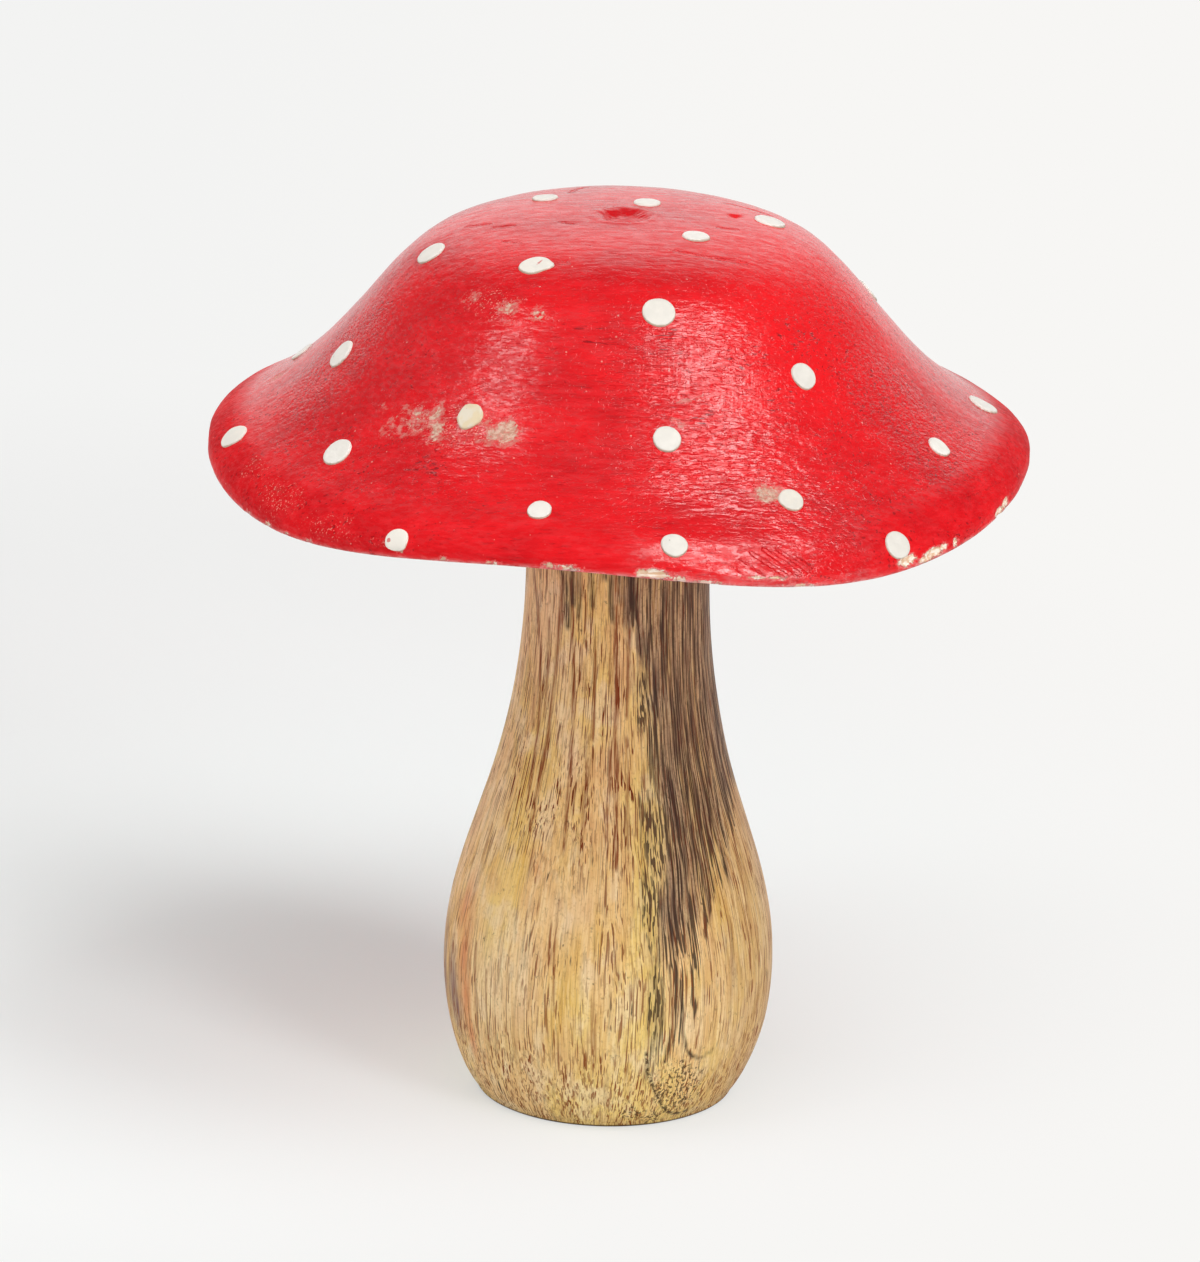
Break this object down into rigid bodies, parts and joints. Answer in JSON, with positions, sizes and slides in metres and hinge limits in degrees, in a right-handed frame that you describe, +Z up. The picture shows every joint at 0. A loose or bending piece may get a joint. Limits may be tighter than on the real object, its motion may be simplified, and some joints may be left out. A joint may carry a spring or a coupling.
{
  "type": "wooden mushroom ornament",
  "caption": "Turned wooden toadstool ornament: bottle-shaped stem, red wavy-brimmed cap with raised white dabs, held by a tenon and a hidden wood screw.",
  "frame": {"origin": "centre of the stem's flat base, on the surface that the ornament stands on", "axes": "+Z up along the stem's axis, -Y towards the pictured front, +X to the right in the picture"},
  "size_m": [0.134, 0.134, 0.1504],
  "materials": {
    "stem_wood": "clear satin lacquer over turned hardwood with dark pore streaks and a grey-brown band",
    "cap_paint": "brushed glossy red paint over hardwood, pale wood bare in chips along the brim",
    "screw_steel": "zinc plated",
    "dab_paint": "thick creamy white paint, raised"
  },
  "bodies": {
    "root": {"stem": "stem_wood", "cap": "cap_paint", "cap_screw": "screw_steel", "screw_filler": "cap_paint", "white_dab_01": "dab_paint", "white_dab_02": "dab_paint", "white_dab_03": "dab_paint", "white_dab_04": "dab_paint", "white_dab_05": "dab_paint", "white_dab_06": "dab_paint", "white_dab_07": "dab_paint", "white_dab_08": "dab_paint", "white_dab_09": "dab_paint", "white_dab_10": "dab_paint", "white_dab_11": "dab_paint", "white_dab_12": "dab_paint", "white_dab_13": "dab_paint", "white_dab_14": "dab_paint", "white_dab_15": "dab_paint", "white_dab_16": "dab_paint", "white_dab_17": "dab_paint", "white_dab_18": "dab_paint", "white_dab_19": "dab_paint", "white_dab_20": "dab_paint", "white_dab_21": "dab_paint", "white_dab_22": "dab_paint", "white_dab_23": "dab_paint", "white_dab_24": "dab_paint", "white_dab_25": "dab_paint", "white_dab_26": "dab_paint", "white_dab_27": "dab_paint", "white_dab_28": "dab_paint", "white_dab_29": "dab_paint", "white_dab_30": "dab_paint", "white_dab_31": "dab_paint", "white_dab_32": "dab_paint", "white_dab_33": "dab_paint", "white_dab_34": "dab_paint", "white_dab_35": "dab_paint", "white_dab_36": "dab_paint", "white_dab_37": "dab_paint", "white_dab_38": "dab_paint", "white_dab_39": "dab_paint"}
  },
  "joints": []
}
